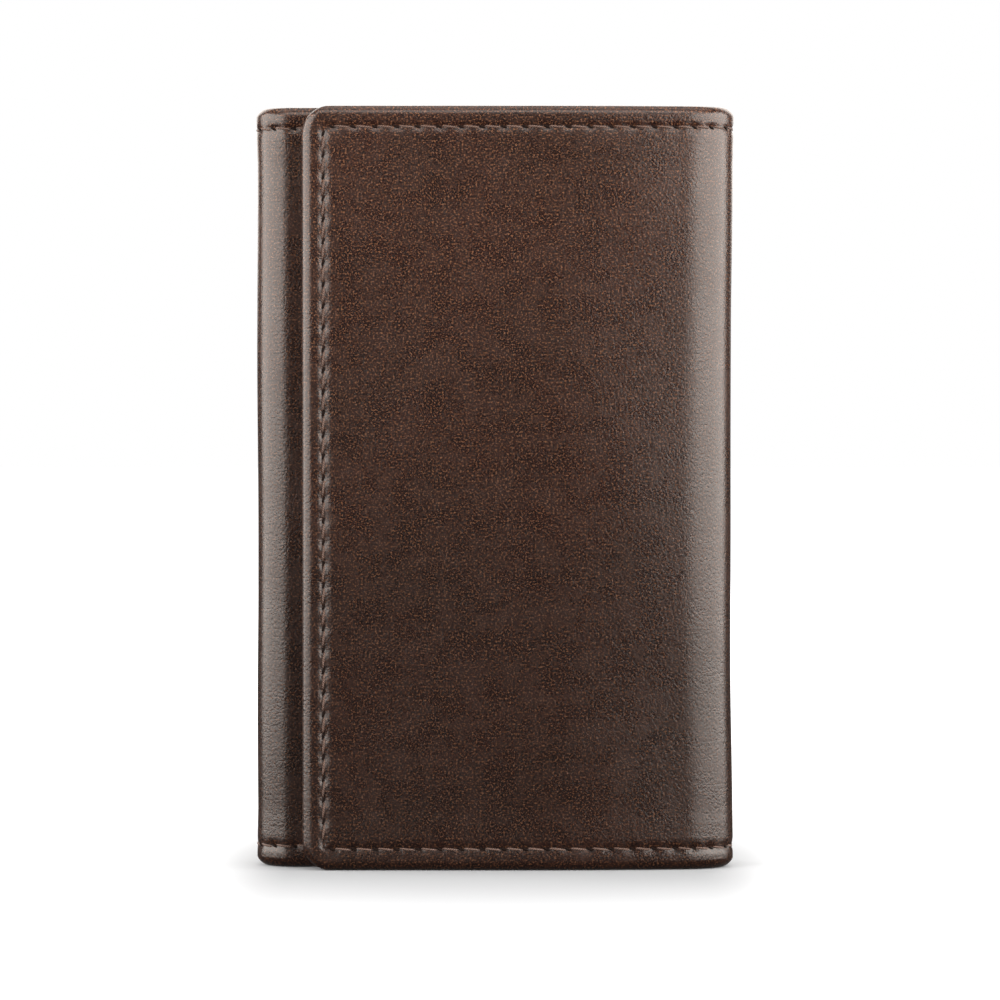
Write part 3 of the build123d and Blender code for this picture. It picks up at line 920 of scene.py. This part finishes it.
def plain_plane(name, corners, colour, paler, roughness):
    """A single large quad for the floor: white paper that glows away from the wallet.

    The glow rises smoothly close to the footprint and slowly beyond it, so the floor stays
    white out to the horizon and still takes a soft contact shadow.
    """
    mesh = bpy.data.meshes.new(name)
    mesh.from_pydata(corners, [], [[0, 1, 2, 3]])
    material, tree, shader = new_material(name + "_paper", colour, roughness)
    place = add(tree, "ShaderNodeTexCoord").outputs["Object"]
    cloud = add(tree, "ShaderNodeTexNoise", {"Vector": place, "Scale": 3.0})
    base = add(tree, "ShaderNodeMix", {0: cloud.outputs["Fac"], 6: linear_colour(colour),
                                       7: linear_colour(paler)}, data_type="RGBA").outputs[2]
    tree.links.new(base, shader.inputs["Base Color"])
    shader.inputs["Specular IOR Level"].default_value = 0.2
    wider = add(tree, "ShaderNodeMapping", {"Vector": place, "Scale": FOOTPRINT_STRETCH})
    from_middle = add(tree, "ShaderNodeVectorMath", {0: wider.outputs["Vector"]},
                      operation="ABSOLUTE").outputs[0]
    outside = add(tree, "ShaderNodeVectorMath", {0: from_middle, 1: FOOTPRINT},
                  operation="SUBTRACT").outputs[0]
    outside = add(tree, "ShaderNodeVectorMath", {0: outside, 1: (0, 0, 0)},
                  operation="MAXIMUM").outputs[0]
    away = add(tree, "ShaderNodeVectorMath", {0: outside}, operation="LENGTH").outputs["Value"]
    near = add(tree, "ShaderNodeMapRange", {"Value": away, "From Max": NEAR_RUN, "To Max": NEAR_GLOW},
               interpolation_type="SMOOTHSTEP").outputs["Result"]
    far = add(tree, "ShaderNodeMapRange", {"Value": away, "From Max": FAR_RUN,
                                           "To Max": FAR_GLOW}).outputs["Result"]
    glow = add(tree, "ShaderNodeMath", {0: near, 1: far}, operation="ADD").outputs[0]
    tree.links.new(glow, shader.inputs["Emission Strength"])
    shader.inputs["Emission Color"].default_value = (1, 1, 1, 1)
    mesh.materials.append(material)
    plane = bpy.data.objects.new(name, mesh)
    plane.visible_glossy = False
    plane.visible_diffuse = False
    bpy.context.scene.collection.objects.link(plane)


plain_plane("studio_floor", [(-REACH, -REACH, 0), (REACH, -REACH, 0), (REACH, REACH, 0),
                             (-REACH, REACH, 0)], "#9aa0a6", "#9ea4aa", 0.8)

WARM_WHITE = "#fff6ee"
# The side boxes stand along Y at this distance, with their middles this high, facing a little down
SIDE_X, SIDE_Z, SIDE_AIM_Z, SIDE_TALL = 0.70, 0.31, 0.21, 0.70


def softbox(name, place, aim, width, height, watts):
    """A rectangular soft light at place that faces aim."""
    light = bpy.data.lights.new(name, "AREA")
    light.shape = "RECTANGLE"
    light.size, light.size_y = width, height
    light.energy = watts
    light.color = linear_colour(WARM_WHITE)[:3]
    lamp = bpy.data.objects.new(name, light)
    bpy.context.scene.collection.objects.link(lamp)
    away = np.array(place) - np.array(aim)
    lamp.location = place
    lamp.rotation_euler = (math.atan2(math.hypot(away[0], away[1]), away[2]), 0,
                           math.atan2(away[0], -away[1]))


def side_softbox(name, side, y, width, watts):
    """A long box beside the wallet that lights a rounded fold and leaves the flat front dark."""
    softbox(name, (side * SIDE_X, y, SIDE_Z), (0, y, SIDE_AIM_Z), width, SIDE_TALL, watts)


# A small box in front lights the top edge, and the others the rolled edges and the back
side_softbox("left_softbox", -1, -0.925, 2.45, 34.5)
side_softbox("right_softbox", 1, -0.81, 2.12, 34.0)
softbox("top_softbox", (0.0, -0.17, 0.27), (0, 0, 0.1), 0.35, 0.12, 0.5)
softbox("overhead_softbox", (0.0, 0.05, 0.90), (0, 0.05, 0), 0.9, 0.6, 3.0)
softbox("back_softbox", (0.0, 0.90, 0.45), (0, 0, 0.05), 1.4, 0.7, 8.0)

# A white backdrop that lends the wallet itself only a dim fill
world = bpy.data.worlds.new("studio")
bpy.context.scene.world = world
world.use_nodes = True
sky = world.node_tree
backdrop = next(n for n in sky.nodes if n.type == "BACKGROUND")
backdrop.inputs["Color"].default_value = (1, 1, 1, 1)
backdrop.inputs["Strength"].default_value = 1.0
dim = add(sky, "ShaderNodeBackground", {"Color": (1, 1, 1, 1), "Strength": 0.08})
seen = add(sky, "ShaderNodeLightPath").outputs["Is Camera Ray"]
mixed = add(sky, "ShaderNodeMixShader", {0: seen, 1: dim.outputs[0], 2: backdrop.outputs[0]})
sky.links.new(mixed.outputs[0], next(n for n in sky.nodes if n.type == "OUTPUT_WORLD").inputs[0])

# Camera: level with the upper half, looking a little down, far enough back for a long lens
CAMERA_X, CAMERA_Y, CAMERA_Z = 0.0008, -0.670, 0.070
TILT_DOWN = math.radians(1.27)
LENS_MM, SENSOR_MM = 160.3, 36.0
camera_data = bpy.data.cameras.new("camera")
camera_data.lens = LENS_MM
camera_data.sensor_width = SENSOR_MM
camera = bpy.data.objects.new("camera", camera_data)
bpy.context.scene.collection.objects.link(camera)
camera.location = (CAMERA_X, CAMERA_Y, CAMERA_Z)
camera.rotation_euler = (math.pi / 2 - TILT_DOWN, 0, 0)
bpy.context.scene.camera = camera
bpy.context.scene.view_settings.view_transform = "Standard"
